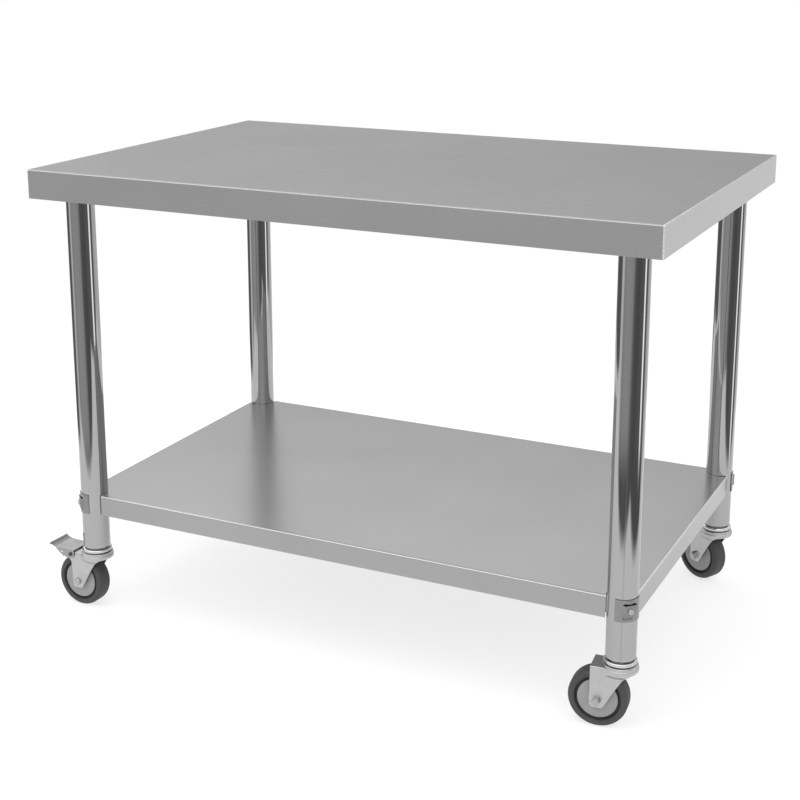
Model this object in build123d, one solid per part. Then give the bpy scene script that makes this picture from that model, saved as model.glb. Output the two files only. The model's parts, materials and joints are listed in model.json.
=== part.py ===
from build123d import *
import math
import os

# A stainless steel kitchen work table with an undershelf, on four swivel castors. Millimetres.
# Origin: on the floor, under the centre of the worktop. +X is the table's right, +Y its back, +Z up.

# ---------------------------------------------------------------- driving dimensions: the table
LENGTH = 1160.0  # worktop, left to right
DEPTH = 750.0  # worktop, front to back
HEIGHT = 850.0  # floor to working surface
SHEET = 1.2  # stainless sheet of the worktop and the undershelf
BEND_R = 2.4  # outside radius of the sheet's bends
TOP_APRON = 52.0  # folded-down edge of the worktop
TOP_HEM = 14.0  # return fold under the worktop's edge

LEG_D = 50.8
LEG_WALL = 1.2
LEG_INSET_X = 62.5  # worktop's end to the leg's axis
LEG_INSET_Y = 66.5  # worktop's front or back to the leg's axis

SHELF_Z = 230.0  # floor to the undershelf's upper face
SHELF_APRON = 38.0
SHELF_HEM = 10.0
SHELF_PAST_LEG_X = 20.5  # leg's axis to the shelf's end face
SHELF_PAST_LEG_Y = 13.5  # leg's axis to the shelf's front or back face
NOTCH_R = 27.5  # round notch in each shelf corner, about the leg's axis

CHANNEL_SHEET = 1.5  # hat-section stiffeners
TOP_CHANNEL_DEPTH = 22.0
END_CHANNEL_CROWN = 70.0
CENTRE_CHANNEL_CROWN = 90.0
CHANNEL_FLANGE = 20.0
SHELF_CHANNEL_DEPTH = 16.0

SOCKET_PLATE = 3.0
SOCKET_PLATE_X = 66.0
SOCKET_PLATE_Y = 86.0
SOCKET_DROP = 25.0  # collar below the socket's plate
SOCKET_WALL = 3.0
SLIP = 0.05  # radial play of a leg in its socket, and of a shaft in its bearing
GRUB_R = 4.0

CLAMP_Z = 214.0  # height of each shelf clamp's screw
CLAMP_HEIGHT = 38.0
CLAMP_HALF_ANGLE = 56.0  # how far the outer plate wraps round the leg, either side
CLAMP_SHEET = 1.3
SEAT_W = 22.0  # the clamp plate's raised seat, across and up
SEAT_H = 21.0
SADDLE_HALF_ANGLE = 50.0
SADDLE_HEIGHT = 34.0
CLAMP_SCREW_R = 2.5
CLAMP_HOLE_R = 2.75

# ---------------------------------------------------------------- driving dimensions: the castors
WHEEL_R = 50.0
TREAD_W = 32.0
TRAIL = 33.0  # swivel axis to the axle
LEG_END_Z = 127.0  # floor to the leg's lower end
CROWN_Z = 109.5  # top of the fork's crown
CROWN_R = 30.5
CROWN_T = 3.0
FORK_W = 44.0
FORK_T = 2.5
FOOT_ROUND = 3.0
RACE_GAP = 0.5
RACE_TOP_Z = 122.0
RACE_R = 27.6
RIDGE_R = 29.2
RIDGE_Z = 113.8  # top of the lower race's rounded rim
STEM_R = 6.0
BALL_R = 3.0
BALL_CIRCLE_R = 19.0
BALLS = 16
RUN_GAP = 0.3  # between faces that pass each other
AXLE_R = 4.0
SLEEVE_R = 6.0
HUB_R = 33.5
HUB_DRUM_R = 31.0
BOSS_R = 12.0

EAR_U = 54.0  # trailing distance of a braked fork's ears
EAR_Z = 108.6
PEDAL_PIVOT = (46.5, 103.5)  # trailing distance and height of the brake lever's pin
PEDAL_PIN_R = 2.5
PEDAL_T = 1.5
PEDAL_Z = 111.0  # underside of the lever's flat top, released
PEDAL_BEND_U = 80.0  # trailing distance of the bend where the toe starts
PEDAL_TIP_U = 96.0  # trailing distance of the toe's rolled tip
PEDAL_TIP_Z = 117.0
PEDAL_ROLL_R = 1.6
PEDAL_SIDE_GAP = 0.4  # lever's flange to the fork's cheek
BRAKE_TRAVEL = 12.0  # degrees from released to pressed
SHOE_GAP = 0.5  # brake shoe to tyre, pressed
SHOE_T = 2.2
SHOE_HALF_W = 13.0
SHOE_ANGLE = 50.0  # where the pressed shoe meets the wheel, degrees above the trailing side

# Each castor: leg it stands under, swivel direction of its trailing wheel in degrees from +X,
# whether it has a brake, and the side its axle's nut is on (-1 or 1, across the fork).
CASTORS = {
    "fl": {"at": (-1, -1), "heading": 178.0, "brake": True, "nut_side": -1},
    "fr": {"at": (1, -1), "heading": 186.0, "brake": False, "nut_side": 1},
    "bl": {"at": (-1, 1), "heading": 170.0, "brake": True, "nut_side": -1},
    "br": {"at": (1, 1), "heading": 152.0, "brake": False, "nut_side": 1},
}

# ---------------------------------------------------------------- worked-out positions
LEG_X = LENGTH / 2 - LEG_INSET_X
LEG_Y = DEPTH / 2 - LEG_INSET_Y
LEG_R = LEG_D / 2
BORE_R = LEG_R - LEG_WALL
TOP_UNDERSIDE = HEIGHT - SHEET
PLATE_TOP_Z = TOP_UNDERSIDE - TOP_CHANNEL_DEPTH
LEG_TOP_Z = PLATE_TOP_Z - SOCKET_PLATE
SOCKET_LOW_Z = LEG_TOP_Z - SOCKET_DROP
GRUB_Z = SOCKET_LOW_Z + 11.0
SHELF_X = LEG_X + SHELF_PAST_LEG_X
SHELF_Y = LEG_Y + SHELF_PAST_LEG_Y
SADDLE_R = LEG_R + SLIP
SEAT_OUT = LEG_R + 3.2  # leg's axis to the clamp plate's flat seat
NUT_SEAT = LEG_R + 4.6  # leg's axis to the saddle's flat for the nut
CHEEK = FORK_W / 2  # outer face of a fork's cheek
CHEEK_IN = CHEEK - FORK_T
CROWN_UNDER = CROWN_Z - CROWN_T
LEVER_IN = CHEEK + PEDAL_SIDE_GAP
LEVER_OUT = LEVER_IN + PEDAL_T
REACH = 40.0  # longer than anything is wide across a castor, for cuts that go right through

UP = (Align.CENTER, Align.CENTER, Align.MIN)
DOWN = (Align.CENTER, Align.CENTER, Align.MAX)


# ---------------------------------------------------------------- helpers
def block(size, low):
    """A box from its size and the centre of its lower face."""
    return Pos(*low) * Box(*size, align=UP)


def tube(outer, inner, low_z, high_z):
    """A round tube about Z."""
    ring = Circle(outer) - Circle(inner)
    return Pos(0, 0, low_z) * extrude(ring, high_z - low_z)


def rod(radius, low_z, high_z):
    return Pos(0, 0, low_z) * Cylinder(radius, high_z - low_z, align=UP)


def across(radius, half_length, u, z):
    """A rod along Y at trailing distance u and height z."""
    return Pos(u, 0, z) * Rot(90, 0, 0) * Cylinder(radius, 2 * half_length)


def radial_rod(radius, start, end, z):
    """A rod along +X from start to end at height z, for screws that point at a leg's axis."""
    low, high = min(start, end), max(start, end)
    return Pos(low, 0, z) * Rot(0, 90, 0) * Cylinder(radius, high - low, align=UP)


def turned(points):
    """The solid that a closed outline of (radius, z) points makes when it turns about Z."""
    outline = make_face(Polyline([(r, 0, z) for r, z in points], close=True))
    return revolve(outline, Axis.Z)


def side_plate(points, low_v, high_v, round_r=0.0, round_below=0.0):
    """A plate whose outline lies in the (trailing distance, height) plane, low_v to high_v across."""
    outline = make_face(Polyline([(u, 0, z) for u, z in points], close=True))
    if round_r:
        outline = fillet([v for v in outline.vertices() if v.Z < round_below], round_r)
    return Pos(0, low_v, 0) * extrude(outline, high_v - low_v, dir=(0, 1, 0))


def sector(outer, inner, half_angle, low_z, high_z):
    """A curved plate about Z, centred on +X."""
    reach = outer / math.cos(math.radians(half_angle / 2)) + 5
    rays = [
        (reach * math.cos(math.radians(a)), reach * math.sin(math.radians(a)))
        for a in (-half_angle, -half_angle / 2, half_angle / 2, half_angle)
    ]
    wedge = make_face(Polyline([(0, 0), *rays], close=True))
    shape = (Circle(outer) - Circle(inner)) & wedge
    return Pos(0, 0, low_z) * extrude(shape, high_z - low_z)


def as_one(shapes):
    """Several separate solids of one kind, kept apart in one node."""
    return Compound(children=[s for shape in shapes for s in shape.solids()])


def save(name, shape):
    export_step(shape, f"parts/{name}.step")


def leg_place(at):
    return Pos(at[0] * LEG_X, at[1] * LEG_Y, 0)


def outward(at):
    """The angle from +X of the diagonal that points out of the table at a leg."""
    return math.degrees(math.atan2(at[1], at[0]))


# ---------------------------------------------------------------- worktop
def folded_pan(length, depth, top_z, apron, hem):
    """A sheet folded down on four sides, with a return hem along its lower edge."""
    outer = Pos(0, 0, top_z) * Box(length, depth, apron, align=DOWN)
    bends = outer.edges().filter_by(Axis.Z) + outer.faces().sort_by(Axis.Z)[-1].edges()
    outer = fillet(bends, BEND_R)
    inside = Pos(0, 0, top_z - SHEET) * Box(
        length - 2 * SHEET, depth - 2 * SHEET, apron - SHEET, align=DOWN
    )
    bends = inside.edges().filter_by(Axis.Z) + inside.faces().sort_by(Axis.Z)[-1].edges()
    inside = fillet(bends, BEND_R - SHEET)
    opening = Box(
        length - 2 * SHEET - 2 * hem, depth - 2 * SHEET - 2 * hem, SHEET, align=UP
    )
    hem_ring = Box(length - SHEET, depth - SHEET, SHEET, align=UP) - opening
    return outer - inside + Pos(0, 0, top_z - apron) * (hem_ring & inside_plan(length, depth))


def inside_plan(length, depth):
    """Keeps a hem within the folded sheet's rounded corners."""
    slab = Box(length, depth, SHEET, align=UP)
    return fillet(slab.edges().filter_by(Axis.Z), BEND_R)


def hat_channel(length, crown, drop):
    """A hat section along X: flanges at z = 0 against the sheet, crown hanging at -drop."""
    t = CHANNEL_SHEET
    bottom = Pos(0, 0, -drop) * Box(length, crown, t, align=UP)
    shape = bottom
    for side in (-1, 1):
        wall = Pos(0, side * (crown - t) / 2, -drop) * Box(length, t, drop, align=UP)
        flange_y = side * (crown / 2 - t + (CHANNEL_FLANGE + t) / 2)
        flange = Pos(0, flange_y, 0) * Box(length, CHANNEL_FLANGE + t, t, align=DOWN)
        shape = shape + wall + flange
    return shape


def leg_socket(boss_angle):
    """The cup that holds a leg's upper end, with a boss for a grub screw at an angle from +X."""
    plate = Pos(0, 0, LEG_TOP_Z) * Box(SOCKET_PLATE_X, SOCKET_PLATE_Y, SOCKET_PLATE, align=UP)
    plate = fillet(plate.edges().filter_by(Axis.Z), 6)
    bore = LEG_R + SLIP
    collar = turned(
        [
            (bore, SOCKET_LOW_Z),
            (bore + SOCKET_WALL, SOCKET_LOW_Z),
            (bore + SOCKET_WALL + 2.5, LEG_TOP_Z),
            (bore, LEG_TOP_Z),
        ]
    )
    boss = radial_rod(GRUB_R + 3.5, bore + 1, bore + 9, GRUB_Z)
    thread = radial_rod(GRUB_R, bore - 2, bore + 12, GRUB_Z)
    return plate + (collar + Rot(0, 0, boss_angle) * boss) - Rot(0, 0, boss_angle) * thread


def grub_screw():
    """A cup-point set screw with a hexagon socket, tip against the leg."""
    screw = radial_rod(GRUB_R, LEG_R, LEG_R + 13, GRUB_Z)
    key = Pos(LEG_R + 9, 0, GRUB_Z) * Rot(0, 90, 0) * extrude(RegularPolygon(2.3, 6), 5)
    return screw - key


# ---------------------------------------------------------------- legs and undershelf
def leg():
    body = tube(LEG_R, BORE_R, LEG_END_Z, LEG_TOP_Z)
    return body - radial_rod(CLAMP_HOLE_R, -LEG_R - 2, LEG_R + 2, CLAMP_Z)


def undershelf():
    """A folded tray whose four corners are notched round the legs."""
    tray = folded_pan(2 * SHELF_X, 2 * SHELF_Y, SHELF_Z, SHELF_APRON, SHELF_HEM)
    for castor in CASTORS.values():
        tray -= leg_place(castor["at"]) * rod(NOTCH_R, SHELF_Z - SHELF_APRON - 1, SHELF_Z + 1)
    return tray


def clamp_plate():
    """The outer clamp plate about a leg, with a raised flat seat for its screw. Centred on +X."""
    low, high = CLAMP_Z - CLAMP_HEIGHT / 2, CLAMP_Z + CLAMP_HEIGHT / 2
    inner = LEG_R + SLIP
    plate = sector(inner + CLAMP_SHEET, inner, CLAMP_HALF_ANGLE, low, high)
    seat_low = CLAMP_Z - SEAT_H / 2
    hollow_w = SEAT_W - 2 * CLAMP_SHEET
    window = block((12, hollow_w, SEAT_H), (LEG_R, 0, seat_low))
    flank_in = math.sqrt(inner**2 - (hollow_w / 2) ** 2) + 0.3
    deep = SEAT_OUT - flank_in
    seat = block((deep, SEAT_W, SEAT_H), (flank_in + deep / 2, 0, seat_low))
    seat = fillet(seat.edges().filter_by(Axis.Z).sort_by(Axis.X)[-2:], 1.2)
    hollow = deep - CLAMP_SHEET
    seat -= block((hollow, hollow_w, SEAT_H), (flank_in + hollow / 2, 0, seat_low))
    seat -= rod(inner, low, high)
    return plate - window + seat - radial_rod(CLAMP_HOLE_R, LEG_R, SEAT_OUT + 2, CLAMP_Z)


def shelf_saddle():
    """The curved bracket welded in the shelf's notch, inside the leg, with a flat for the nut."""
    high = SHELF_Z - SHEET / 3
    plate = sector(NOTCH_R, SADDLE_R, SADDLE_HALF_ANGLE, high - SADDLE_HEIGHT, high)
    flat = block((NUT_SEAT - LEG_R - 1, 15, 15), ((NUT_SEAT + LEG_R + 1) / 2, 0, CLAMP_Z - 7.5))
    return plate + flat - radial_rod(CLAMP_HOLE_R, LEG_R - 2, NUT_SEAT + 2, CLAMP_Z)


def clamp_screw():
    """A cross-recessed pan head screw through the plate, the leg and the saddle. Head towards +X."""
    end = -NUT_SEAT - 7.0
    shank = radial_rod(CLAMP_SCREW_R, end, SEAT_OUT, CLAMP_Z)
    head = Pos(SEAT_OUT, 0, CLAMP_Z) * Rot(0, 90, 0) * Cylinder(4.8, 3.0, align=UP)
    head = fillet(head.edges().sort_by(Axis.X)[-1], 1.6)
    bar = Box(1.6, 5.4, 1.1)
    recess = Pos(SEAT_OUT + 2.6, 0, CLAMP_Z) * (bar + Rot(90, 0, 0) * bar)
    return shank + head - recess


def clamp_nut():
    """A flange nut on the saddle's flat. It sits on the table's side of the leg, towards -X."""
    washer = radial_rod(5.6, -NUT_SEAT - 1.2, -NUT_SEAT, CLAMP_Z)
    hexagon = Pos(-NUT_SEAT - 5.2, 0, CLAMP_Z) * Rot(0, 90, 0) * extrude(RegularPolygon(4.5, 6), 4.5)
    bore = radial_rod(CLAMP_SCREW_R, -NUT_SEAT - 8, -NUT_SEAT + 1, CLAMP_Z)
    return washer + hexagon - bore


# ---------------------------------------------------------------- castor: parts that stay on the leg
def leg_insert():
    """The plug in the leg's lower end, with a rim that covers the tube's edge."""
    rim = tube(LEG_R - 0.2, STEM_R, LEG_END_Z - 1.4, LEG_END_Z)
    return rim + tube(BORE_R - SLIP, STEM_R, LEG_END_Z, LEG_END_Z + 28)


def castor_stem():
    """The king bolt: head under the crown, hexagon collar above the race, end screwed in the plug."""
    shank = rod(STEM_R, CROWN_UNDER - RUN_GAP - 3.2, LEG_END_Z + 24)
    head = rod(10, CROWN_UNDER - RUN_GAP - 3.2, CROWN_UNDER - RUN_GAP)
    collar = Pos(0, 0, RACE_TOP_Z) * extrude(RegularPolygon(19, 6), LEG_END_Z - 1.4 - RACE_TOP_Z)
    return shank + head + collar


def raceway():
    """The upper bearing cup: a rounded bright ring with a groove for the balls under it."""
    low = RIDGE_Z + RACE_GAP
    cup = tube(RACE_R, STEM_R, low, RACE_TOP_Z)
    rims = cup.edges().filter_by(GeomType.CIRCLE).sort_by(SortBy.RADIUS)[-2:]
    cup = fillet(rims, 3.4)
    groove_top = CROWN_Z + RUN_GAP + 2 * BALL_R + 0.1
    groove = tube(BALL_CIRCLE_R + BALL_R + 1.2, BALL_CIRCLE_R - BALL_R - 1.2, low - 1, groove_top)
    return cup - groove


def balls():
    z = CROWN_Z + RUN_GAP + BALL_R
    spots = [360.0 / BALLS * i for i in range(BALLS)]
    return [Rot(0, 0, a) * Pos(BALL_CIRCLE_R, 0, z) * Sphere(BALL_R) for a in spots]


# ---------------------------------------------------------------- castor: fork. +X is the trailing side
def fork_solid(inset):
    """The fork's shape before it is hollowed (inset 0), or its hollow (inset one sheet)."""
    half = CHEEK - inset
    top = CROWN_UNDER if inset else CROWN_Z
    body = block((90, 2 * half, top), (35, 0, 0))
    rim = CROWN_R - inset
    bell = turned([(0, 84), (half, 84), (half + 1.0, 92), (rim, 103), (rim, top), (0, top)])
    if not inset:
        body = fillet(body.edges().filter_by(Axis.X).sort_by(Axis.Z)[-2:], 3.0)
        bell = fillet(bell.edges().filter_by(GeomType.CIRCLE).sort_by(Axis.Z)[-1], 2.4)
    return body + bell


def fork_outline(brake):
    """The fork seen from the side: a crown, and cheeks that slant back to the axle."""
    foot = [(45.0, 43.5), (40.5, 37.5), (25.0, 37.5), (20.0, 43.5)]
    front = [(3.5, 73), (-9.5, 94), (-20.0, 101.5), (-32.0, 103.5), (-32.0, CROWN_Z + 1)]
    if brake:
        return [(EAR_U, CROWN_Z + 1), (EAR_U, 98), (46.0, 88), *foot, *front]
    return [(43.0, CROWN_Z + 1), (44.0, 88), *foot, *front]


def fork(brake):
    """The pressed fork, with the lower ball race's rounded rim and holes for stem and axle."""
    shape = fork_solid(0) - fork_solid(FORK_T)
    shape &= side_plate(fork_outline(brake), -REACH, REACH, FOOT_ROUND, WHEEL_R - 5)
    if brake:
        # Beyond the crown a braked fork has only an ear each side, for the lever's pin.
        shape -= block((17, 2 * CHEEK_IN, 20), (EAR_U - 2.5, 0, CROWN_UNDER - 4))
        shape -= block((17, 2 * REACH, 20), (EAR_U - 2.5, 0, EAR_Z))
        shape -= across(PEDAL_PIN_R, REACH, *PEDAL_PIVOT)
    ridge = tube(RIDGE_R, BALL_CIRCLE_R + BALL_R + 1.2, CROWN_Z - 0.5, RIDGE_Z)
    rims = ridge.edges().filter_by(GeomType.CIRCLE).sort_by(Axis.Z)[-2:]
    shape = shape + fillet(rims, 1.9) - rod(STEM_R + SLIP, CROWN_UNDER - 1, CROWN_Z + 1)
    return shape - across(AXLE_R, REACH, TRAIL, WHEEL_R)


# ---------------------------------------------------------------- castor: axle and wheel
def axle_sleeve():
    """The steel tube between the cheeks that the wheel turns on."""
    ring = across(SLEEVE_R, CHEEK_IN, TRAIL, WHEEL_R)
    return ring - across(AXLE_R, CHEEK_IN + 1, TRAIL, WHEEL_R)


def on_axle(shape):
    """Puts a shape made about Z with its middle at z = 0 on the axle's line."""
    return Pos(TRAIL, 0, WHEEL_R) * Rot(-90, 0, 0) * shape


def axle_bolt(nut_side):
    """The axle bolt: a domed round head on one side, a plain end past the nut on the other."""
    shank = rod(AXLE_R, -CHEEK, CHEEK + 8.5)
    head = fillet(Cylinder(6.6, 4.6).edges().sort_by(Axis.Z)[0], 3.0)
    bolt = shank + Pos(0, 0, -CHEEK - 2.3) * head
    return on_axle(bolt if nut_side > 0 else Rot(180, 0, 0) * bolt)


def axle_nut(nut_side):
    hexagon = extrude(RegularPolygon(7.5, 6), 6.5)
    crown = fillet(rod(6.2, 6.5, 8.0).edges().sort_by(Axis.Z)[-1], 0.9)
    nut = Pos(0, 0, CHEEK) * (hexagon + crown - rod(AXLE_R, -1, 9))
    return on_axle(nut if nut_side > 0 else Rot(180, 0, 0) * nut)


def wheel_hub():
    """The moulded wheel centre: a drum for the tyre, a disc each side and a long boss."""
    half = [
        (SLEEVE_R + SLIP, CHEEK_IN - RUN_GAP),
        (BOSS_R, CHEEK_IN - RUN_GAP),
        (BOSS_R + 1.2, 16.4),
        (BOSS_R + 4.0, 15.0),
        (HUB_R - 4.0, 15.0),
        (HUB_R, 13.8),
        (HUB_R, 12.0),
        (HUB_DRUM_R, 12.0),
    ]
    return on_axle(turned(half + [(r, -z) for r, z in reversed(half)]))


def tyre():
    """The rubber tyre, with rounded shoulders and a groove where it meets the hub's disc."""
    half = TREAD_W / 2
    shape = turned(
        [
            (HUB_DRUM_R, -12.0),
            (36.2, -12.0),
            (37.6, -half + 0.6),
            (39.0, -half),
            (WHEEL_R, -half),
            (WHEEL_R, half),
            (39.0, half),
            (37.6, half - 0.6),
            (36.2, 12.0),
            (HUB_DRUM_R, 12.0),
        ]
    )
    shoulders = shape.edges().filter_by(GeomType.CIRCLE).sort_by(SortBy.RADIUS)[-2:]
    return on_axle(fillet(shoulders, 7.0))


# ---------------------------------------------------------------- castor: brake
def brake_shoe():
    """The lever's curved shoe, released: it lies along the tyre once the lever is pressed."""
    tyre_gap = WHEEL_R + SHOE_GAP
    pad = sector(tyre_gap + SHOE_T, tyre_gap, 9.0, -SHOE_HALF_W, SHOE_HALF_W)
    pressed = Pos(TRAIL, 0, WHEEL_R) * Rot(90, 0, 0) * Rot(0, 0, SHOE_ANGLE) * pad
    u, z = PEDAL_PIVOT
    return Pos(u, 0, z) * Rot(0, -BRAKE_TRAVEL, 0) * Pos(-u, 0, -z) * pressed


def brake_pedal():
    """The brake lever: a channel over the fork's ears, a toe with a rolled tip, and a shoe."""
    high = PEDAL_Z + PEDAL_T
    start_u = PEDAL_PIVOT[0] - 9.5
    roll_u = PEDAL_TIP_U - PEDAL_ROLL_R
    top_long = PEDAL_BEND_U - start_u
    top = block((top_long, 2 * LEVER_OUT, PEDAL_T), (start_u + top_long / 2, 0, PEDAL_Z))
    top -= rod(RACE_R + 6.5, PEDAL_Z - 1, high + 1)
    toe = [
        (PEDAL_BEND_U - 0.5, PEDAL_Z),
        (roll_u, PEDAL_TIP_Z),
        (roll_u - 0.6, PEDAL_TIP_Z + PEDAL_T),
        (PEDAL_BEND_U - 1.0, high),
    ]
    roll = across(PEDAL_ROLL_R, LEVER_OUT, roll_u, PEDAL_TIP_Z + 0.2)
    flange = [
        (start_u + 1.5, high - 0.8),
        (start_u + 1.5, 101),
        (43.5, 95.0),
        (53.0, 94.5),
        (67.5, 98.8),
        (PEDAL_BEND_U - 1.0, 108.0),
        (PEDAL_BEND_U + 1.0, high - 0.8),
    ]
    shape = top + side_plate(toe, -LEVER_OUT, LEVER_OUT) + roll
    for low in (-LEVER_OUT, LEVER_IN):
        cheek = side_plate(flange, low, low + PEDAL_T)
        shape += cheek - Pos(0, low, 0) * across(2.2, 2 * PEDAL_T, 67.5, 104.6)
    web = block((2.0, 2 * SHOE_HALF_W, PEDAL_Z + 0.5 - 94.0), (67.5, 0, 94.0))
    return shape + web + brake_shoe() - across(PEDAL_PIN_R + SLIP, REACH, *PEDAL_PIVOT)


def brake_pin():
    """The lever's hinge pin, with a head outside each side of the lever."""
    head_in = LEVER_OUT + RUN_GAP
    pin = across(PEDAL_PIN_R, head_in + 1.2, *PEDAL_PIVOT)
    for side in (-1, 1):
        pin += Pos(0, side * (head_in + 0.6), 0) * across(3.8, 0.6, *PEDAL_PIVOT)
    return pin


# ---------------------------------------------------------------- the whole table
os.makedirs("parts", exist_ok=True)

save("worktop_sheet", folded_pan(LENGTH, DEPTH, HEIGHT, TOP_APRON, TOP_HEM))
end_length = DEPTH - 2 * SHEET - 12
for name, side in (("left", -1), ("right", 1)):
    channel = Rot(0, 0, 90) * hat_channel(end_length, END_CHANNEL_CROWN, TOP_CHANNEL_DEPTH)
    save(f"worktop_channel_{name}", Pos(side * LEG_X, 0, TOP_UNDERSIDE) * channel)
centre_length = 2 * (LEG_X - END_CHANNEL_CROWN / 2 - CHANNEL_FLANGE - 2)
centre = hat_channel(centre_length, CENTRE_CHANNEL_CROWN, TOP_CHANNEL_DEPTH)
save("worktop_channel_centre", Pos(0, 0, TOP_UNDERSIDE) * centre)

save("undershelf_sheet", undershelf())
shelf_channel = hat_channel(2 * SHELF_X - 120, 80, SHELF_CHANNEL_DEPTH)
save("undershelf_channel", Pos(0, 0, SHELF_Z - SHEET) * shelf_channel)

grubs, screws, nuts, inserts, stems, ball_sets = [], [], [], [], [], []
for key, castor in CASTORS.items():
    place = leg_place(castor["at"])
    out = place * Rot(0, 0, outward(castor["at"]))
    inward = place * Rot(0, 0, outward(castor["at"]) + 180)
    save(f"leg_socket_{key}", place * leg_socket(outward(castor["at"]) + 180))
    save(f"leg_{key}", out * leg())
    save(f"clamp_plate_{key}", out * clamp_plate())
    save(f"shelf_saddle_{key}", inward * shelf_saddle())
    grubs.append(inward * grub_screw())
    screws.append(out * clamp_screw())
    nuts.append(out * clamp_nut())
    inserts.append(place * leg_insert())
    stems.append(place * castor_stem())
    ball_sets.extend(place * ball for ball in balls())

    swivel = place * Rot(0, 0, castor["heading"])
    save(f"raceway_{key}", place * raceway())
    save(f"fork_{key}", swivel * fork(castor["brake"]))
    save(f"axle_sleeve_{key}", swivel * axle_sleeve())
    save(f"axle_bolt_{key}", swivel * axle_bolt(castor["nut_side"]))
    save(f"axle_nut_{key}", swivel * axle_nut(castor["nut_side"]))
    save(f"wheel_hub_{key}", swivel * wheel_hub())
    save(f"tyre_{key}", swivel * tyre())
    if castor["brake"]:
        save(f"brake_pedal_{key}", swivel * brake_pedal())
        save(f"brake_pin_{key}", swivel * brake_pin())

save("socket_grub_screws", as_one(grubs))
save("clamp_screws", as_one(screws))
save("clamp_nuts", as_one(nuts))
save("leg_inserts", as_one(inserts))
save("castor_stems", as_one(stems))
save("swivel_balls", as_one(ball_sets))
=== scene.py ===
import json
import math

import bmesh
import bpy
from mathutils import Matrix, Vector


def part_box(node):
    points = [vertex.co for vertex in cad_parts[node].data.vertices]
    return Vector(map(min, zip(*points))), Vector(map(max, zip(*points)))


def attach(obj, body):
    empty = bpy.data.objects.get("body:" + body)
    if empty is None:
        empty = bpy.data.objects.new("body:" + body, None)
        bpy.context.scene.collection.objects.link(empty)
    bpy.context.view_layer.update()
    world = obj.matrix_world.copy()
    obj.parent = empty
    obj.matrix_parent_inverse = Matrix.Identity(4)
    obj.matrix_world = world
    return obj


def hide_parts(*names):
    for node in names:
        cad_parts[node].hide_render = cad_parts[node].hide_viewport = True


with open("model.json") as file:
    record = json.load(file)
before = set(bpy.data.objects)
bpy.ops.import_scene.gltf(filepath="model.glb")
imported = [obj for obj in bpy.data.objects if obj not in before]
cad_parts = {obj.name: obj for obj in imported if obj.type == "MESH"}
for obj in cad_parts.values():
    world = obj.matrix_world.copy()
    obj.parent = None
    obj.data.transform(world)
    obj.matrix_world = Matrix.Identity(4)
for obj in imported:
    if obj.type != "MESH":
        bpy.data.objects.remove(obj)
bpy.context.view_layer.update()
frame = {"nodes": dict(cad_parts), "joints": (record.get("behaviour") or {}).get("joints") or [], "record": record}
record = frame["record"]
nodes = frame["nodes"]
joints = {joint["name"]: joint for joint in frame["joints"]}
MM = 0.001


# ---------------------------------------------------------------- node trees
class Tree:
    """A node tree. Its methods add nodes and give back the socket that holds their result."""

    def __init__(self, tree):
        self.tree = tree

    def add(self, kind, **values):
        node = self.tree.nodes.new(kind)
        for key, value in values.items():
            setattr(node, key, value)
        return node

    def join(self, source, target):
        self.tree.links.new(source, target)

    def maths(self, operation, *values):
        """The result of a sum, whose values are numbers or sockets."""
        node = self.add("ShaderNodeMath", operation=operation)
        for socket, value in zip(node.inputs, values):
            if isinstance(value, (int, float)):
                socket.default_value = value
            else:
                self.join(value, socket)
        return node.outputs[0]

    def axes(self, source):
        """The X, Y and Z of a vector, by name."""
        node = self.add("ShaderNodeSeparateXYZ")
        self.join(source, node.inputs[0])
        return node.outputs

    def step(self, source, start, end, first=0.0, last=1.0):
        """Goes smoothly from first to last as the source goes from start to end."""
        node = self.add("ShaderNodeMapRange", interpolation_type="SMOOTHSTEP")
        for key, value in zip(("From Min", "From Max", "To Min", "To Max"), (start, end, first, last)):
            node.inputs[key].default_value = value
        self.join(source, node.inputs["Value"])
        return node.outputs["Result"]

    def ramp(self, source, points):
        """Colours or greys along the source: points are (position from 0 to 1, colour or grey)."""
        node = self.add("ShaderNodeValToRGB")
        elements = node.color_ramp.elements
        while len(elements) < len(points):
            elements.new(0.5)
        for element, (at, value) in zip(elements, points):
            element.position = at
            element.color = (*value, 1.0) if hasattr(value, "__len__") else (value, value, value, 1.0)
        self.join(source, node.inputs["Fac"])
        return node.outputs["Color"]

    def blended(self, first, second, mask):
        """first where the mask is 0 and second where it is 1. Each is a grey or a socket."""
        node = self.add("ShaderNodeMix", data_type="RGBA")
        self.join(mask, node.inputs["Factor"])
        for key, value in (("A", first), ("B", second)):
            if isinstance(value, float):
                node.inputs[key].default_value = (value, value, value, 1.0)
            else:
                self.join(value, node.inputs[key])
        return node.outputs["Result"]


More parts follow.
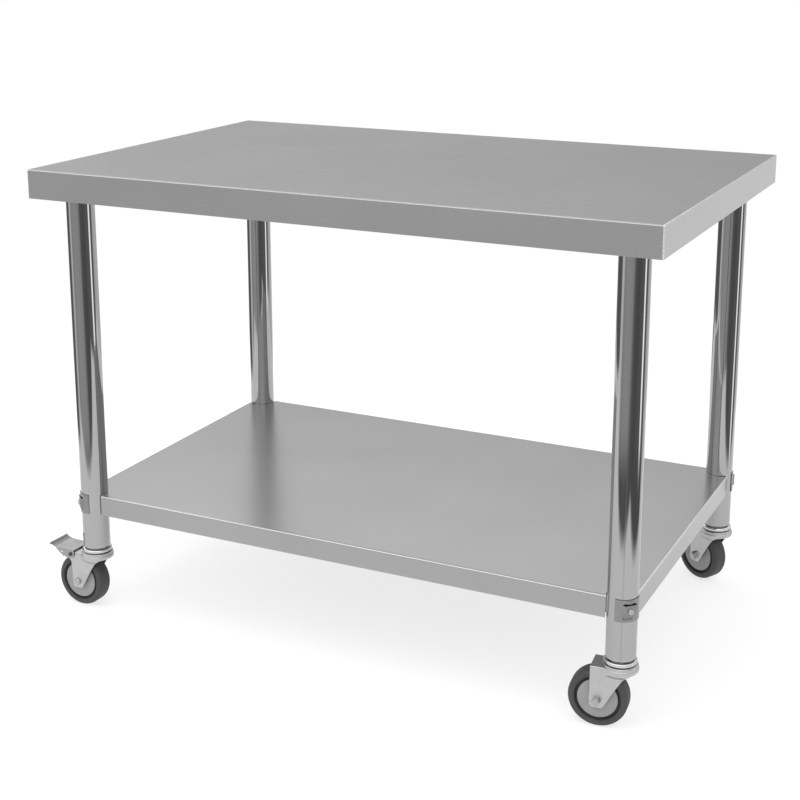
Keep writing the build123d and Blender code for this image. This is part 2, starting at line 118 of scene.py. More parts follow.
class Shader(Tree):
    """A node material, whose textures follow the object's own coordinates."""

    def __init__(self, name):
        self.material = bpy.data.materials.new(name)
        self.material.use_nodes = True
        super().__init__(self.material.node_tree)
        self.bsdf = self.tree.nodes["Principled BSDF"]
        self.place = self.add("ShaderNodeTexCoord").outputs["Object"]

    def set(self, **values):
        for key, value in values.items():
            self.bsdf.inputs[key.replace("_", " ")].default_value = value

    def noise(self, per_metre, detail=3.0, rough=0.5, stretch=(1, 1, 1)):
        """Noise with about per_metre features to a metre, times stretch along x, y and z."""
        mapping = self.add("ShaderNodeMapping")
        mapping.inputs["Scale"].default_value = stretch
        self.join(self.place, mapping.inputs["Vector"])
        node = self.add("ShaderNodeTexNoise")
        node.inputs["Scale"].default_value = per_metre
        node.inputs["Detail"].default_value = detail
        node.inputs["Roughness"].default_value = rough
        self.join(mapping.outputs["Vector"], node.inputs["Vector"])
        return node.outputs["Fac"]

    def to_colour(self, source, low, high, start=0.3, end=0.7):
        """Base colour from low to high as the source goes from start to end."""
        self.join(self.ramp(source, [(start, low), (end, high)]), self.bsdf.inputs["Base Color"])

    def to_roughness(self, source, low, high, start=0.3, end=0.7):
        self.join(self.ramp(source, [(start, low), (end, high)]), self.bsdf.inputs["Roughness"])

    def bump(self, *layers):
        """Each layer is (height source, strength, distance in metres)."""
        normal = None
        for source, strength, distance in layers:
            node = self.add("ShaderNodeBump")
            node.inputs["Strength"].default_value = strength
            node.inputs["Distance"].default_value = distance
            self.join(source, node.inputs["Height"])
            if normal:
                self.join(normal, node.inputs["Normal"])
            normal = node.outputs["Normal"]
        self.join(normal, self.bsdf.inputs["Normal"])


# ---------------------------------------------------------------- materials
BEND_R = 0.0024  # outside radius of the sheets' bends, in metres
SHEET_GRAIN = (6, 900, 900)  # lines of the grain to a metre along x, y and z, so they run along x
CORNER_ROUGH = 0.55  # the sheets' corners, which are welded and ground
SEAM_TURN = math.radians(73)  # where each leg's weld seam is, from the x axis towards the y axis
SEAM_HALF = math.radians(4.5)


def sheet_bends(s, node):
    """Masks of a folded sheet: its end folds, its front and back folds, and its ground corners. satin_steel paints
    them with colours that stand for the bends' highlight lines, and makes the ground corners rougher.
    """
    low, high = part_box(node)
    xyz = s.axes(s.place)
    past = []
    for axis, a, b in zip("XY", low, high):
        away = s.maths("ABSOLUTE", s.maths("SUBTRACT", xyz[axis], (a + b) / 2))
        past.append(s.maths("SUBTRACT", away, (b - a) / 2 - BEND_R))
    past_x, past_y = past
    past_top = s.maths("SUBTRACT", xyz["Z"], high[2] - BEND_R)
    pairs = ((past_x, past_top), (past_y, past_top), (past_x, past_y))
    return [s.step(s.maths("MINIMUM", *pair), 0.0, BEND_R * 0.25) for pair in pairs]


def satin_steel(name, tone, rough, node, painted_bend_tones):
    """Brushed stainless sheet. The last argument holds the colours painted on the masks that sheet_bends gives for
    the node: painted highlight lines along the bends and corners where lighter than the sheet, and painted shade
    where darker. The corners are also rougher, as ground steel is.
    """
    s = Shader(name)
    s.set(Metallic=1.0)
    lines = s.noise(1.0, detail=4.0, rough=0.6, stretch=SHEET_GRAIN)
    colour = s.ramp(s.noise(5.0, 2.0), [(0.3, tone * 0.97), (0.7, tone * 1.03)])
    bends = sheet_bends(s, node)
    # Painted highlight and painted shade: each bend and corner takes a colour that sets how bright its highlight
    # line looks.
    for mask, painted_bend_tone in zip(bends, painted_bend_tones):
        colour = s.blended(colour, painted_bend_tone, mask)
    s.join(colour, s.bsdf.inputs["Base Color"])
    roughness = s.ramp(lines, [(0.3, rough - 0.008), (0.7, rough + 0.011)])
    s.join(s.blended(roughness, CORNER_ROUGH, bends[-1]), s.bsdf.inputs["Roughness"])
    s.bump((lines, 0.005, 0.0001), (s.noise(3.2, 1.0), 0.06, 0.004))
    return s.material


def drawn_lines(s):
    """Fine lines along z, as on drawn steel, with their bump."""
    lines = s.noise(8.0, stretch=(60, 60, 1))
    s.bump((lines, 0.03, 0.0002), (s.noise(30.0, 1.0, stretch=(1, 1, 0.12)), 0.05, 0.002))
    return lines


def polished_steel(name, tone, rough):
    s = Shader(name)
    s.set(Metallic=1.0)
    s.to_colour(s.noise(14.0, stretch=(1, 1, 0.3)), tone * 0.97, tone * 1.03)
    s.to_roughness(drawn_lines(s), rough - 0.015, rough + 0.04)
    return s.material


def leg_seam(s):
    """1 on the ground weld seam that runs down each leg, and 0 elsewhere."""
    xyz = s.axes(s.place)
    leg_x, leg_y, _ = joints["swivel_br"]["pos_m"]
    out_x = s.maths("SUBTRACT", s.maths("ABSOLUTE", xyz["X"]), leg_x)
    out_y = s.maths("SUBTRACT", s.maths("ABSOLUTE", xyz["Y"]), leg_y)
    turn = s.maths("ARCTAN2", out_y, out_x)
    away = s.maths("ABSOLUTE", s.maths("SUBTRACT", turn, SEAM_TURN))
    return s.step(away, 0.0, SEAM_HALF, 1.0, 0.0)


def tube_steel(name, tone, rough):
    """Polished tube, with a duller, darker weld seam."""
    s = Shader(name)
    s.set(Metallic=1.0)
    seam = leg_seam(s)
    s.to_colour(seam, tone, tone * 0.84, 0.0, 1.0)
    s.to_roughness(s.maths("ADD", seam, drawn_lines(s)), rough - 0.015, rough + 0.07, 0.3, 1.2)
    return s.material


def plated_steel(name, tone, rough):
    """Zinc-plated pressed steel: faintly mottled, with soft scuffs."""
    s = Shader(name)
    s.set(Metallic=1.0)
    warm = (tone * 1.03, tone * 1.02, tone * 0.99)
    cool = (tone * 0.92, tone * 0.93, tone * 0.95)
    s.to_colour(s.noise(90.0, 4.0), cool, warm)
    s.to_roughness(s.noise(40.0), rough - 0.06, rough + 0.09)
    s.bump((s.noise(600.0, 2.0), 0.06, 0.0003))
    return s.material


def galvanised(name, tone):
    """Hot-dip galvanised sheet with its spangle."""
    s = Shader(name)
    s.set(Metallic=1.0)
    cells = s.add("ShaderNodeTexVoronoi")
    cells.inputs["Scale"].default_value = 120.0
    s.join(s.place, cells.inputs["Vector"])
    grey = s.add("ShaderNodeRGBToBW")
    s.join(cells.outputs["Color"], grey.inputs["Color"])
    spangle = grey.outputs["Val"]
    s.to_colour(spangle, tone * 0.8, tone * 1.1, 0.2, 0.8)
    s.to_roughness(spangle, 0.34, 0.52, 0.2, 0.8)
    s.bump((spangle, 0.05, 0.0003))
    return s.material


def rubber(name, tone):
    s = Shader(name)
    s.set(Specular_IOR_Level=0.35)
    dust = s.noise(28.0, 4.0)
    s.to_colour(dust, tone * 0.86, tone * 1.18)
    s.to_roughness(dust, 0.52, 0.70)
    s.bump((s.noise(1400.0, 2.0), 0.16, 0.0003))
    return s.material


def nylon(name, tone):
    s = Shader(name)
    s.set(Specular_IOR_Level=0.45)
    s.to_colour(s.noise(60.0), tone * 0.95, tone * 1.05)
    s.to_roughness(s.noise(300.0, 2.0), 0.40, 0.55)
    s.bump((s.noise(900.0, 2.0), 0.08, 0.0003))
    return s.material


# Each finish: the function that makes it, its tone, and then what else that function takes.
finishes = {
    # The last three numbers of the worktop and the shelf are colours for their end folds, front and back folds and
    # corners: painted highlight where lighter than the sheet's tone, painted shade where darker.
    "worktop_steel": (satin_steel, 0.52, 0.27, "worktop_sheet", (0.95, 0.48, 0.9)),
    "shelf_steel": (satin_steel, 0.36, 0.25, "undershelf_sheet", (0.8, 0.62, 0.8)),
    "stiffener_steel": (galvanised, 0.45),
    "leg_steel": (tube_steel, 0.385, 0.05),
    "socket_steel": (plated_steel, 0.42, 0.2),
    "clamp_steel": (plated_steel, 0.27, 0.28),
    "screws": (plated_steel, 0.5, 0.14),
    "insert_zinc": (plated_steel, 0.5, 0.35),
    "race_chrome": (polished_steel, 0.62, 0.07),
    "fork_zinc": (plated_steel, 0.49, 0.32),
    "lever_zinc": (plated_steel, 0.34, 0.27),
    "axle_zinc": (plated_steel, 0.42, 0.2),
    "brake_pin": (plated_steel, 0.1, 0.4),
    "bearing_steel": (polished_steel, 0.5, 0.15),
    "hub_plastic": (nylon, 0.27),
    "tyre_rubber": (rubber, 0.054),
}
finish = {name: make(name, *values) for name, (make, *values) in finishes.items()}
for part in record["subparts"]:
    mesh = nodes[part["node"]].data
    mesh.materials.clear()
    pin = part["node"].startswith("brake_pin")
    mesh.materials.append(finish["brake_pin" if pin else part["material_slot"]])


# ---------------------------------------------------------------- mesh helpers
SAME_POINT = 1e-6  # metres
SHARP = math.radians(38)  # edges that turn more than this are drawn sharp
BEND_STEPS = 5  # faces round a bend


def mesh_object(name, vertices, faces, slot, modifiers=(), look=None):
    """A smooth-shaded object from points in millimetres, with its modifiers applied."""
    mesh = bpy.data.meshes.new(name)
    mesh.from_pydata([[c * MM for c in v] for v in vertices], [], faces)
    mesh.validate()
    merge_points(mesh)
    made = bpy.data.objects.new(name, mesh)
    bpy.context.collection.objects.link(made)
    apply_modifiers(made, modifiers)
    mesh = made.data
    mesh.materials.clear()
    mesh.materials.append(finish[look or slot])
    merge_points(mesh, closed=True)
    mesh.shade_smooth()
    mesh.set_sharp_from_angle(angle=SHARP)
    return made


def merge_points(mesh, closed=False):
    """Joins points that coincide, and turns a closed mesh's faces outward."""
    work = bmesh.new()
    work.from_mesh(mesh)
    bmesh.ops.remove_doubles(work, verts=work.verts, dist=SAME_POINT)
    bmesh.ops.dissolve_degenerate(work, edges=work.edges, dist=SAME_POINT)
    if closed:
        bmesh.ops.recalc_face_normals(work, faces=work.faces)
    work.to_mesh(mesh)
    work.free()


def apply_modifiers(thing, modifiers):
    for kind, values in modifiers:
        modifier = thing.modifiers.new(kind.lower(), kind)
        for key, value in values.items():
            setattr(modifier, key, value)
    if modifiers:
        bpy.context.view_layer.update()
        graph = bpy.context.evaluated_depsgraph_get()
        final = bpy.data.meshes.new_from_object(thing.evaluated_get(graph))
        thing.modifiers.clear()
        thing.data = final


def sheet_metal(thickness, edge=0.0003, offset=-1.0):
    """Gives a surface its thickness in metres, and a small round on the cut edges."""
    rounding = {"width": edge, "segments": 2, "limit_method": "ANGLE", "angle_limit": math.radians(50)}
    return (("SOLIDIFY", {"thickness": thickness, "offset": offset}), ("BEVEL", rounding))


def grid_faces(rows, columns, skip=lambda i, j: False, closed=False):
    """Quads of a grid of points held row by row. closed joins the last column to the first."""
    faces = []
    for i in range(rows - 1):
        for j in range(columns if closed else columns - 1):
            if skip(i, j):
                continue
            k = (j + 1) % columns
            faces.append((i * columns + j, i * columns + k, (i + 1) * columns + k, (i + 1) * columns + j))
    return faces


def smooth_step(t):
    t = min(max(t, 0.0), 1.0)
    return t * t * (3 - 2 * t)


def between(x, points):
    """Straight lines through (x, y) points."""
    for (x0, y0), (x1, y1) in zip(points, points[1:]):
        if x <= x1:
            return y0 + (y1 - y0) * max(x - x0, 0.0) / (x1 - x0)
    return points[-1][1]


def quarter_bend(reach, top, radius):
    """(v, z) points round the bend from a wall at v = reach to a flat at z = top."""
    turns = [math.pi / 2 * k / BEND_STEPS for k in range(1, BEND_STEPS + 1)]
    return [(reach - radius + radius * math.cos(t), top - radius + radius * math.sin(t)) for t in turns]


def turned_mesh(profile, steps):
    """A surface of revolution about Z: (radius, height) points, first and last on the axis or joined."""
    vertices = []
    for r, z in profile:
        for k in range(steps):
            turn = 2 * math.pi * k / steps
            vertices.append((r * math.cos(turn), r * math.sin(turn), z))
    return vertices, grid_faces(len(profile), steps, closed=True)


def joined(*parts):
    vertices, faces = [], []
    for more_vertices, more_faces in parts:
        start = len(vertices)
        vertices.extend(more_vertices)
        faces.extend(tuple(k + start for k in face) for face in more_faces)
    return vertices, faces


def place(thing, centre, heading=0.0, tilt=None):
    """Tilts a piece's mesh, turns it about Z and moves it to centre; its object stays at the origin."""
    spot = Matrix.Translation(Vector(centre)) @ Matrix.Rotation(heading, 4, "Z")
    if tilt is not None:
        spot = spot @ tilt
    thing.data.transform(spot)
    thing.data.update()


# ---------------------------------------------------------------- sizes of the castors and clamps
# In millimetres. u runs back from the swivel axis along the trail, v across it, and z up from the floor.
ACROSS = Matrix.Rotation(math.pi / 2, 4, "X")  # turns a piece's Z axis to lie across the castor
LEG_R = 25.4
WHEEL_R = 50.0
TRAIL = 33.0  # swivel axis to the axle

CROWN_R = 30.5  # the fork's round crown
CROWN_Z = 109.5  # its top
CHEEK = 22.0  # outer face of the fork's cheeks
CHEEK_U = 45.0  # where the cheeks end
EAR_U = 54.0  # where a braked fork's ears end
EAR_Z = 108.6  # top of the ears

CLAMP_OUT = LEG_R + 1.45  # outer face of the clamp's plate
CLAMP_WRAP = 56  # degrees that the plate reaches round the leg, either side
SEAT_OUT = LEG_R + 3.2  # outer face of its raised seat
SEAT_HALF_W = 11.0
SEAT_HALF_H = 10.5
SEAT_STEP = 0.8  # half the width of the slope round it
SLOT_H = 1.1  # the opening above and below the seat
SLOT_PAST = 1.2  # how far it goes past the seat, either side

LEVER_OUT = 23.9  # outer face of the lever's flanges
LEVER_TOP = 112.5
LEVER_PIN = (46.5, 103.5)
LEVER_HOLE = (67.5, 104.6)  # in each flange
LEVER_HOLE_R = 2.2
TOE_U = 82.0  # where the toe starts
RACE_CLEAR = 34.1  # the lever's top keeps this far from the swivel axis
BRAKE_TRAVEL = math.radians(12)
SHOE_R = WHEEL_R + 1.6  # middle of the pressed shoe's sheet, from the axle
SHOE_TURN = 50  # degrees from the trailing side to the pressed shoe's middle
SHOE_ARC = 9  # degrees that it reaches from there, either side
SHOE_ACROSS = (-13, -6.5, 0, 6.5, 13)
WEB_U = 67.5  # the web that holds the shoe
WEB_HEIGHTS = (94.2, 98, 103, 108, 111.6)

# Thicknesses of the sheets, in metres.
FORK_SHEET = 0.0025
CLAMP_SHEET = 0.0012
LEVER_SHEET = 0.0013
SHOE_SHEET = 0.002


def castor_spot(key):
    """A castor's swivel axis in metres, its heading, and its trail in millimetres."""
    swivel = Vector(joints[f"swivel_{key}"]["pos_m"])
    axle = Vector(joints[f"spin_{key}"]["pos_m"])
    away = (axle - swivel).to_2d()
    return (swivel.x, swivel.y, 0.0), math.atan2(away.y, away.x), away.length / MM


# ---------------------------------------------------------------- forks
FAN_STEPS = 16
TRAIL_STEPS = 44
FORK_WALLS = 22  # points up each side, to the bend
FORK_FLATS = 9  # faces from the bend to the middle
FORK_BEND_R = 2.6
WIDEN_Z = 91.5  # where the sides start to widen from the cheeks to the crown
WIDEN_H = 10.5  # and over what height
FILL = 1.25  # how much the corners between the crown and the cheeks are filled
FILL_REACH = 5.0


def fork_side(u, inner, low, top):
    """(distance out, z) points of half a section: up from low, out to the crown and in over its top."""
    ring = math.sqrt(max(CROWN_R**2 - u * u, 0.0))
    # Where the round crown meets a cheek, the corner between them is filled a little.
    near = max(FILL_REACH - abs(ring - CHEEK), 0.0) / FILL_REACH
    shoulder = max(ring, CHEEK) + FILL * near * near
    wall_top = top - FORK_BEND_R
    side = []
    for k in range(FORK_WALLS):
        z = low + (wall_top - low) * k / (FORK_WALLS - 1)
        side.append((inner + (shoulder - inner) * smooth_step((z - WIDEN_Z) / WIDEN_H), z))
    side += quarter_bend(shoulder, top, FORK_BEND_R)
    edge = side[-1][0]
    return side + [(edge * (1 - k / FORK_FLATS), top) for k in range(1, FORK_FLATS)]


def fork_mesh(braked):
    """The pressed fork as one folded sheet: U-shaped sections, one behind another along the trail."""
    # Lower edge of the crown and the cheeks, from the front back round the foot, as (u, z).
    lower = [
        (-31, 102.6), (-20.0, 101.4), (-14.5, 98.4), (-9.5, 93.6), (3.5, 73.0), (20.0, 43.5), (21.4, 40.8),
        (23.2, 38.6), (26.0, 37.5), (39.5, 37.5), (42.4, 38.6), (44.2, 40.8), (CHEEK_U, 43.5),
    ]
    if braked:
        lower += [(45.6, 87.4), (46.4, 88.6), (EAR_U, 98.0)]
    back = lower[-1][0]
    # Ahead of the swivel axis the sections fan round the crown; behind it they follow the trail.
    # Each station is a section's u, and the way that its half points, along u and along v.
    turns = [math.pi - math.pi / 2 * k / FAN_STEPS for k in range(FAN_STEPS)]
    stations = [(0.0, math.cos(turn), math.sin(turn)) for turn in turns]
    stations += [(back * k / TRAIL_STEPS, 0.0, 1.0) for k in range(TRAIL_STEPS + 1)]
    rows = []
    for u, along, aside in stations:
        top = EAR_Z if u > CHEEK_U + 0.5 else CROWN_Z
        inner = min(CROWN_R, CHEEK / max(aside, 0.05))
        side = fork_side(u, inner, between(u + inner * along, lower), top)
        section = [(u + r * along, r * aside, z) for r, z in side]
        rows.append(section + [(u, 0.0, top)] + [(x, -y, z) for x, y, z in reversed(section)])
    columns = len(rows[0])
    cheek = FORK_WALLS + BEND_STEPS - 1

    def skip(i, j):
        """Between the ears there is no crown."""
        return stations[i][0] > CHEEK_U - 0.2 and cheek <= j < columns - cheek - 1

    return [point for row in rows for point in row], grid_faces(len(rows), columns, skip)


def fork_piece(key, braked):
    centre, heading, _ = castor_spot(key)
    shell = mesh_object(f"fork_sheet_{key}", *fork_mesh(braked), "fork_zinc", sheet_metal(FORK_SHEET))
    # The rounded rim that carries the balls stands on the crown.
    rim = [
        (23.2, 107.5), (23.2, 112.4), (23.7, 113.3), (24.6, 113.8), (27.2, 113.8), (28.4, 113.4),
        (29.0, 112.6), (29.2, 111.6), (29.2, 109.2), (29.2, 107.5), (23.2, 107.5),
    ]
    ring = mesh_object(f"fork_rim_{key}", *turned_mesh(rim, 96), "fork_zinc")
    for piece in (shell, ring):
        place(piece, centre, heading)
        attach(piece, f"castor_{key}")
    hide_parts(f"fork_{key}")


# ---------------------------------------------------------------- clamps
def clamp_mesh(low, high):
    """A curved sheet round the leg from low to high, facing X, with a flat seat raised in its middle."""
    middle = (low + high) / 2
    angles = range(-CLAMP_WRAP, CLAMP_WRAP + 1)
    edges = {z for step in (0.0, 0.6, 1.5, 3.0) for z in (low + step, high - step)}
    seat = {middle + SEAT_HALF_H * k / 8 for k in range(-8, 9)}
    slots = {middle - SEAT_HALF_H - SLOT_H, middle + SEAT_HALF_H + SLOT_H}
    levels = sorted(edges | seat | slots)
    vertices = []
    for z in levels:
        in_seat = abs(z - middle) <= SEAT_HALF_H + 1e-6
        for angle in angles:
            turn = math.radians(angle)
            x, y = CLAMP_OUT * math.cos(turn), CLAMP_OUT * math.sin(turn)
            if in_seat:
                x += (SEAT_OUT - x) * smooth_step((SEAT_HALF_W + SEAT_STEP - abs(y)) / (2 * SEAT_STEP))
            vertices.append((x, y, z))

    def skip(i, j):
        """The openings above and below the seat."""
        z = (levels[i] + levels[i + 1]) / 2
        y = CLAMP_OUT * math.sin(math.radians((angles[j] + angles[j + 1]) / 2))
        level_with_slot = SEAT_HALF_H < abs(z - middle) < SEAT_HALF_H + SLOT_H
        return level_with_slot and abs(y) < SEAT_HALF_W + SLOT_PAST

    return vertices, grid_faces(len(levels), len(angles), skip)


def clamp_piece(key):
    """The outer clamp plate, on the side of the leg that its CAD plate is on."""
    low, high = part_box(f"clamp_plate_{key}")
    centre, _, _ = castor_spot(key)
    outward = math.atan2((low.y + high.y) / 2 - centre[1], (low.x + high.x) / 2 - centre[0])
    vertices, faces = clamp_mesh(low.z / MM, high.z / MM)
    sheet = sheet_metal(CLAMP_SHEET, edge=0.00025)
    plate = mesh_object(f"clamp_sheet_{key}", vertices, faces, "clamp_steel", sheet)
    place(plate, centre, outward)
    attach(plate, "table_frame")
    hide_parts(f"clamp_plate_{key}")


# ---------------------------------------------------------------- brake levers
LEVER_WALLS = 10  # faces up each flange, to the bend
LEVER_FLATS = 12  # faces from the bend to the middle
LEVER_STEPS = 34  # faces along the flat top
LEVER_BEND_R = 1.9
LEAST_WALL = 0.05  # least height of a flange
TOP_BAND = 0.5  # points this near to the top's height belong to the top


def lever_path():
    """The lever's top along the middle, as (u, z): the flat, the toe's rise, and its rolled tip."""
    front, flat = 38.5, 42.0
    path = [(front + flat * k / LEVER_STEPS, LEVER_TOP) for k in range(LEVER_STEPS + 1)]
    path += [(82.2, 112.75), (84.0, 113.35), (86.5, 114.35), (89.0, 115.45), (91.0, 116.7), (92.2, 117.75)]
    roll_u, roll_z, roll_r = 93.55, 116.25, 2.4
    turns = [math.radians(degrees) for degrees in range(-15, 226, 20)]
    return path + [(roll_u + roll_r * math.sin(t), roll_z + roll_r * math.cos(t)) for t in turns]


def lever_mesh():
    """The brake lever's folded channel, with its toe curling up to a rolled tip."""
    # Lower edge of the flanges, as (u, z).
    flange = [
        (38.5, 101), (43.5, 95.0), (53.0, 94.5), (67.5, 98.8), (79.0, 108.0), (81.5, 110.4), (100, 118),
    ]
    rows = []
    for u, z in lever_path():
        wall_top = z - LEVER_BEND_R
        if u > TOE_U:
            # The toe has no flanges, so a whole side is one point of its edge.
            side = [(LEVER_OUT, z)] * (LEVER_WALLS + 1 + BEND_STEPS)
        else:
            low = min(between(u, flange), wall_top - LEAST_WALL)
            side = [(LEVER_OUT, low + (wall_top - low) * k / LEVER_WALLS) for k in range(LEVER_WALLS + 1)]
            side += quarter_bend(LEVER_OUT, z, LEVER_BEND_R)
        half = side + [((LEVER_OUT - LEVER_BEND_R) * (1 - k / LEVER_FLATS), z) for k in range(1, LEVER_FLATS)]
        row = half + [(0.0, z)] + [(-v, c) for v, c in reversed(half)]
        # Only the top is cut back round the upper race, not the flanges beside it.
        cut = [math.sqrt(max(RACE_CLEAR**2 - v * v, 0.0)) if c > z - TOP_BAND else u for v, c in row]
        rows.append([(max(u, start), v, c) for start, (v, c) in zip(cut, row)])
    return [point for row in rows for point in row], grid_faces(len(rows), len(rows[0]))


def lever_shoe_mesh():
    """The curved shoe, where it is with the lever released, and the web that holds it."""
    steps = 8
    sine, cosine = math.sin(BRAKE_TRAVEL), math.cos(BRAKE_TRAVEL)
    vertices = []
    for k in range(steps + 1):
        # Where the pressed shoe is from the pin, and then the same point turned back about the pin.
        turn = math.radians(SHOE_TURN - SHOE_ARC + 2 * SHOE_ARC * k / steps)
        u = TRAIL + SHOE_R * math.cos(turn) - LEVER_PIN[0]
        z = WHEEL_R + SHOE_R * math.sin(turn) - LEVER_PIN[1]
        back = LEVER_PIN[0] + u * cosine - z * sine
        up = LEVER_PIN[1] + z * cosine + u * sine
        vertices.extend((back, v, up) for v in SHOE_ACROSS)
    shoe = vertices, grid_faces(steps + 1, len(SHOE_ACROSS))
    web = [(WEB_U, v, z) for z in WEB_HEIGHTS for v in SHOE_ACROSS]
    return joined(shoe, (web, grid_faces(len(WEB_HEIGHTS), len(SHOE_ACROSS))))


def lever_piece(key):
    centre, heading, _ = castor_spot(key)
    reach = 30
    rod = [(0, -reach), (LEVER_HOLE_R, -reach), (LEVER_HOLE_R, reach), (0, reach)]
    drill = mesh_object(f"drill_{key}", *turned_mesh(rod, 32), "fork_zinc")
    place(drill, (LEVER_HOLE[0] * MM, 0, LEVER_HOLE[1] * MM), tilt=ACROSS)
    fold, edge = sheet_metal(LEVER_SHEET, edge=0.0002)
    holes = ("BOOLEAN", {"object": drill, "operation": "DIFFERENCE", "solver": "EXACT"})
    vertices, faces = lever_mesh()
    lever = mesh_object(f"brake_lever_{key}", vertices, faces, "fork_zinc", (fold, holes, edge), "lever_zinc")
    bpy.data.objects.remove(drill)
    sheet = sheet_metal(SHOE_SHEET, edge=0.0004, offset=0.0)
    shoe = mesh_object(f"brake_shoe_{key}", *lever_shoe_mesh(), "fork_zinc", sheet)
    for piece in (lever, shoe):
        place(piece, centre, heading)
        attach(piece, f"pedal_{key}")
    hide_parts(f"brake_pedal_{key}")


# ---------------------------------------------------------------- tyres
def tyre_piece(key):
    """The tyre: round shoulders, a flat tread with fine mould lines, and the groove beside the hub."""
    centre, heading, trail = castor_spot(key)
    # (radius, distance from the wheel's middle) of one half: from the hub over the side wall,
    half = [
        (31.0, 8.0), (33.9, 8.0), (37.2, 8.2), (38.2, 9.4), (38.5, 13.6), (39.0, 15.3), (40.2, 15.95),
        (41.4, 16.0), (43.0, 15.97),
    ]
    # round the shoulder,
    turns = [math.radians(9 * k) for k in range(1, 11)]
    shoulder_r, shoulder_z = 43.0, 9.0
    half += [(shoulder_r + 7.0 * math.sin(t), shoulder_z + 6.95 * math.cos(t)) for t in turns]
    # and along the tread, with one mould line on this side of the middle and one in the middle.
    half += [(WHEEL_R, 6.0), (49.86, 5.7), (49.86, 5.4), (WHEEL_R, 5.1), (WHEEL_R, 0.4), (49.9, 0.15)]
    profile = [(r, -z) for r, z in half] + [(r, z) for r, z in reversed(half)]
    profile.append(profile[0])
    tyre = mesh_object(f"tyre_tread_{key}", *turned_mesh(profile, 128), "tyre_rubber")
    axle = (centre[0], centre[1], joints[f"spin_{key}"]["pos_m"][2])
    place(tyre, axle, heading, Matrix.Translation((trail * MM, 0, 0)) @ ACROSS)
    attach(tyre, f"wheel_{key}")
    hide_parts(f"tyre_{key}")


for key in ("fl", "fr", "bl", "br"):
    fork_piece(key, f"brake_{key}" in joints)
    clamp_piece(key)
    tyre_piece(key)
    if f"brake_{key}" in joints:
        lever_piece(key)


# ---------------------------------------------------------------- studio
# What the metal reflects. Levels are the sine of the direction's elevation.
NEAR_FLOOR = 0.93  # grey of the floor close by, below the ring
RING_LEVEL = -0.41
ROOM_LEVEL = -0.34
SKY_LEVEL = 0.02
# Greys round the room: (degrees from +X, grey in that direction).
# Past the near floor comes a ring, mostly darker, and then the room.
ROOM_BANDS = [
    (-180, 0.22), (-168, 0.17), (-163, 1.0), (-150, 1.0), (-141, 0.48), (-120, 0.56), (-98, 0.55),
    (-76, 0.5), (-63, 0.18), (-40, 0.14), (-14, 0.2), (3, 0.18), (8, 2.1), (15, 2.1), (20, 0.18),
    (34, 0.22), (43, 0.8), (70, 0.88), (110, 0.84), (120, 0.2), (150, 0.17),
]
RING_BANDS = [
    (-180, 0.15), (-168, 0.15), (-164, 1.1), (-148, 1.1), (-142, 0.16), (34, 0.14), (42, 1.0), (112, 1.0),
    (120, 0.15),
]
# The sky by level, and how much stronger or weaker it is in each direction: most in front of the table.
SKY_BANDS = [
    (0.0, 0.28), (0.17, 0.34), (0.31, 0.62), (0.35, 0.92), (0.40, 1.55), (0.52, 1.45), (0.72, 0.9),
    (1.0, 0.82),
]
SIDE_BANDS = [
    (-180, 1.2), (-150, 1.2), (-130, 1.55), (-40, 1.55), (-15, 1.1), (96, 0.84), (136, 1.16), (180, 1.2),
]


def studio_world():
    """White to the camera. To everything else a studio: soft light above, and greys beyond the floor."""
    world = bpy.data.worlds.new("studio")
    bpy.context.scene.world = world
    world.use_nodes = True
    s = Tree(world.node_tree)
    s.tree.nodes.clear()
    direction = s.axes(s.add("ShaderNodeTexCoord").outputs["Generated"])
    level = direction["Z"]
    turn = s.add("ShaderNodeMapRange")
    turn.inputs["From Min"].default_value = -math.pi
    turn.inputs["From Max"].default_value = math.pi
    s.join(s.maths("ARCTAN2", direction["Y"], direction["X"]), turn.inputs["Value"])

    def around(bands):
        return s.ramp(turn.outputs["Result"], [((degrees + 180) / 360, grey) for degrees, grey in bands])

    def above(middle, soft, lower, upper):
        """The upper picture over the middle level, and the lower one under it."""
        return s.blended(lower, upper, s.step(level, middle - soft, middle + soft))

    sky = s.add("ShaderNodeMix", data_type="RGBA", blend_type="MULTIPLY")
    sky.inputs["Factor"].default_value = 1
    s.join(s.ramp(level, SKY_BANDS), sky.inputs["A"])
    s.join(around(SIDE_BANDS), sky.inputs["B"])
    room = above(ROOM_LEVEL, 0.02, around(RING_BANDS), around(ROOM_BANDS))
    room = above(RING_LEVEL, 0.01, NEAR_FLOOR, room)
    room = above(SKY_LEVEL, 0.05, room, sky.outputs["Result"])
    seen = s.blended(room, 1.0, s.add("ShaderNodeLightPath").outputs["Is Camera Ray"])
    background = s.add("ShaderNodeBackground")
    s.join(seen, background.inputs["Color"])
    s.join(background.outputs[0], s.add("ShaderNodeOutputWorld").inputs["Surface"])


FLOOR_LOW = (-1.6, -1.2)
FLOOR_HIGH = (1.35, 1.5)
FLOOR_FADE = 0.2  # width of the strip in which the floor fades out


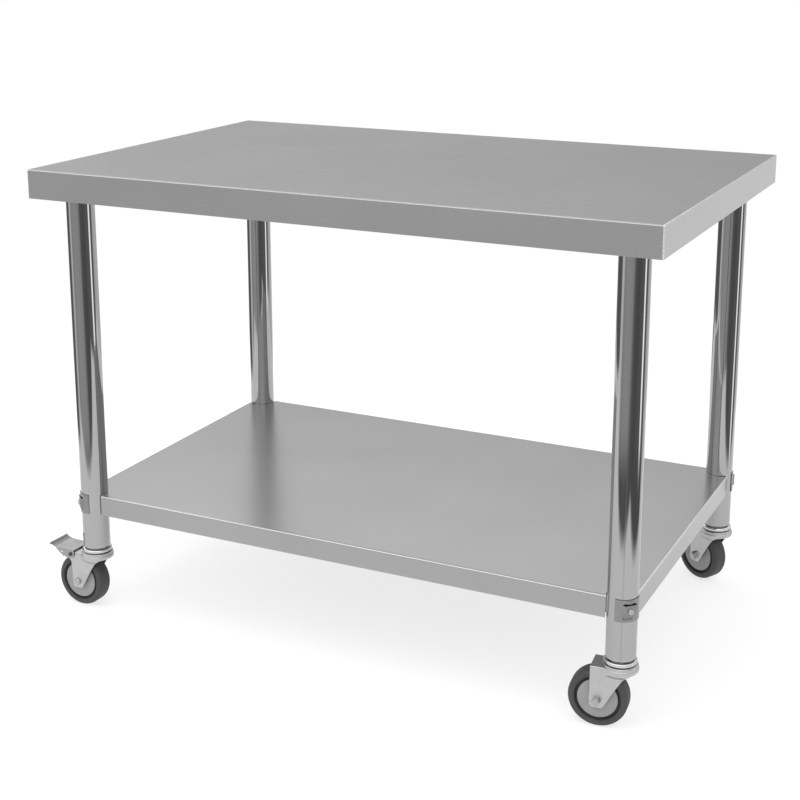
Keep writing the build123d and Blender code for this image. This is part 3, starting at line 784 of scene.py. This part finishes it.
def pale_floor():
    """A pale sheet under the table that fades out at its edges."""
    mesh = bpy.data.meshes.new("floor")
    (x0, y0), (x1, y1) = FLOOR_LOW, FLOOR_HIGH
    mesh.from_pydata([(x0, y0, 0), (x1, y0, 0), (x1, y1, 0), (x0, y1, 0)], [], [(0, 1, 2, 3)])
    floor = bpy.data.objects.new("floor", mesh)
    bpy.context.collection.objects.link(floor)
    s = Shader("floor")
    s.set(Base_Color=(0.33, 0.33, 0.33, 1), Roughness=0.9, Specular_IOR_Level=0.1)
    s.set(Emission_Color=(1, 1, 1, 1), Emission_Strength=0.7)
    xyz = s.axes(s.place)
    fades = []
    for axis, low, high in zip("XY", FLOOR_LOW, FLOOR_HIGH):
        away = s.maths("ABSOLUTE", s.maths("SUBTRACT", xyz[axis], (low + high) / 2))
        reach = (high - low) / 2
        fades.append(s.step(away, reach - FLOOR_FADE, reach, 1.0, 0.0))
    s.join(s.maths("MULTIPLY", *fades), s.bsdf.inputs["Alpha"])
    mesh.materials.append(s.material)


def soft_light(name, at, aim, size, power):
    """A soft light that metal doesn't reflect, because the world is what metal reflects."""
    data = bpy.data.lights.new(name, "AREA")
    data.shape = "RECTANGLE"
    data.size, data.size_y = size
    data.energy = power
    light = bpy.data.objects.new(name, data)
    bpy.context.collection.objects.link(light)
    light.location = at
    light.rotation_euler = (Vector(aim) - Vector(at)).to_track_quat("-Z", "Y").to_euler()
    light.visible_camera = False
    light.visible_glossy = False


studio_world()
pale_floor()
soft_light("overhead", at=(-0.4, -0.6, 2.9), aim=(0, 0, 0.5), size=(2.4, 2.0), power=26)


# ---------------------------------------------------------------- camera
CAMERA_AT = (1.169, -2.481, 1.281)
CAMERA_YAW = math.radians(25.73)
CAMERA_PITCH = math.radians(13.39)
CAMERA_LENS = 68.2  # millimetres, on a sensor 36 mm wide
CAMERA_SHIFT = -0.15  # keeps the uprights nearer to parallel
camera_data = bpy.data.cameras.new("camera")
camera_data.sensor_width = 36.0
camera_data.lens = CAMERA_LENS
camera_data.shift_y = CAMERA_SHIFT
camera_data.clip_end = 100
camera = bpy.data.objects.new("camera", camera_data)
bpy.context.collection.objects.link(camera)
camera.location = CAMERA_AT
camera.rotation_euler = (math.pi / 2 - CAMERA_PITCH, 0, CAMERA_YAW)
bpy.context.scene.camera = camera
bpy.context.scene.view_settings.view_transform = "Standard"
